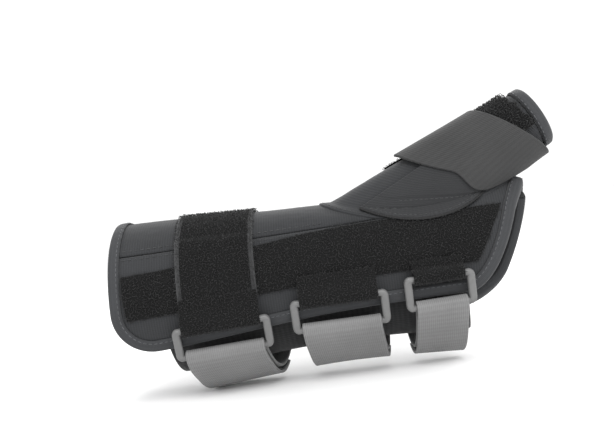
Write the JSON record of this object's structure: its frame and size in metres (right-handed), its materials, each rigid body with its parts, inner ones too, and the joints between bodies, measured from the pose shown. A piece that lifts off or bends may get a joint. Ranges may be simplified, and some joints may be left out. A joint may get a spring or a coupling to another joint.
{
  "type": "wrist and thumb splint",
  "caption": "Right-hand fabric wrist splint with a thumb sleeve, loop pile band, strap rings, elastic straps that peel back and removable stays.",
  "frame": {"origin": "middle of the forearm opening at the elbow end", "axes": "+X towards the fingers, +Z towards the thumb side, -Y towards the back of the hand"},
  "size_m": [0.226, 0.0776, 0.1316],
  "materials": {
    "laminate": "charcoal knit laminated to foam, fine ribs",
    "lining": "brushed black lining",
    "binding_tape": "folded blue-grey binding tape, stitched",
    "loop_pile": "black loop pile with lighter fibre tips",
    "grey_webbing": "grey elastic webbing, ribbed along its length",
    "dark_webbing": "dark grey elastic webbing, ribbed along its length",
    "hook_tape": "black hook tape",
    "moulded_plastic": "satin grey moulded plastic",
    "stay_metal": "satin rolled aluminium"
  },
  "bodies": {
    "splint": {"back_panel": "laminate", "radial_panel": "laminate", "back_lining": "lining", "radial_lining": "lining", "edge_binding": "binding_tape", "pile_band": "loop_pile", "forearm_pile_strap": "loop_pile", "ring_tab_1": "loop_pile", "ring_tab_2": "loop_pile", "ring_tab_3": "loop_pile", "ulnar_tongue": "lining", "strap_run_1": "grey_webbing", "strap_run_2": "grey_webbing", "strap_run_3": "grey_webbing", "thumb_sleeve": "laminate", "thumb_lining": "lining", "thumb_binding": "binding_tape", "thumb_stay": "stay_metal", "thumb_overlay": "laminate", "thumb_strap": "dark_webbing", "thumb_pile_patch": "loop_pile", "back_stay_pocket": "lining"},
    "front_flap": {"front_panel": "laminate", "front_lining": "lining", "front_binding": "binding_tape", "strap_end_1": "grey_webbing", "strap_end_2": "grey_webbing", "strap_end_3": "grey_webbing", "palm_stay_pocket": "lining"},
    "ring_1": {"ring_1": "moulded_plastic"},
    "ring_2": {"ring_2": "moulded_plastic"},
    "ring_3": {"ring_3": "moulded_plastic"},
    "strap_tail_1": {"strap_tail_1": "grey_webbing", "hook_tab_1": "hook_tape"},
    "strap_tail_2": {"strap_tail_2": "grey_webbing", "hook_tab_2": "hook_tape"},
    "strap_tail_3": {"strap_tail_3": "grey_webbing", "hook_tab_3": "hook_tape"},
    "thumb_strap_tail": {"thumb_strap_tail": "dark_webbing", "thumb_hook_tab": "hook_tape"},
    "palm_stay": {"palm_stay": "stay_metal"},
    "back_stay": {"back_stay": "stay_metal"}
  },
  "joints": [
    {"name": "front_flap_open", "type": "hinge", "parent": "splint", "child": "front_flap", "pos_m": [0, 0.01963, 0.03296], "axis": [0.9993, -0.0383, 0.0018], "range_deg": [0, 15]},
    {"name": "ring_1_swing", "type": "hinge", "parent": "splint", "child": "ring_1", "pos_m": [0.0515, -0.03528, -0.0101], "axis": [-0.9954, -0.0905, -0.0308], "range_deg": [0, 25]},
    {"name": "ring_2_swing", "type": "hinge", "parent": "splint", "child": "ring_2", "pos_m": [0.1085, -0.03196, -0.00499], "axis": [-0.9998, -0.0171, -0.0045], "range_deg": [0, 25]},
    {"name": "ring_3_swing", "type": "hinge", "parent": "splint", "child": "ring_3", "pos_m": [0.157, -0.02955, -0.00091], "axis": [-0.9959, -0.0895, -0.014], "range_deg": [0, 25]},
    {"name": "strap_1_peel", "type": "hinge", "parent": "ring_1", "child": "strap_tail_1", "pos_m": [0.0515, -0.03083, -0.02317], "axis": [-0.9954, -0.0905, -0.0308], "range_deg": [0, 100]},
    {"name": "strap_2_peel", "type": "hinge", "parent": "ring_2", "child": "strap_tail_2", "pos_m": [0.1085, -0.02846, -0.01834], "axis": [-0.9998, -0.0171, -0.0045], "range_deg": [0, 100]},
    {"name": "strap_3_peel", "type": "hinge", "parent": "ring_3", "child": "strap_tail_3", "pos_m": [0.157, -0.02742, -0.01454], "axis": [-0.9959, -0.0895, -0.014], "range_deg": [0, 100]},
    {"name": "thumb_strap_peel", "type": "hinge", "parent": "splint", "child": "thumb_strap_tail", "pos_m": [0.14859, 0.00192, 0.06089], "axis": [0.9216, -0.0182, 0.3878], "range_deg": [0, 100]},
    {"name": "palm_stay_slide", "type": "slide", "parent": "front_flap", "child": "palm_stay", "axis": [-0.9977, 0.0672, 0], "range_m": [0, 0.17]},
    {"name": "back_stay_slide", "type": "slide", "parent": "splint", "child": "back_stay", "axis": [-0.9985, -0.0549, 0], "range_m": [0, 0.125]}
  ]
}
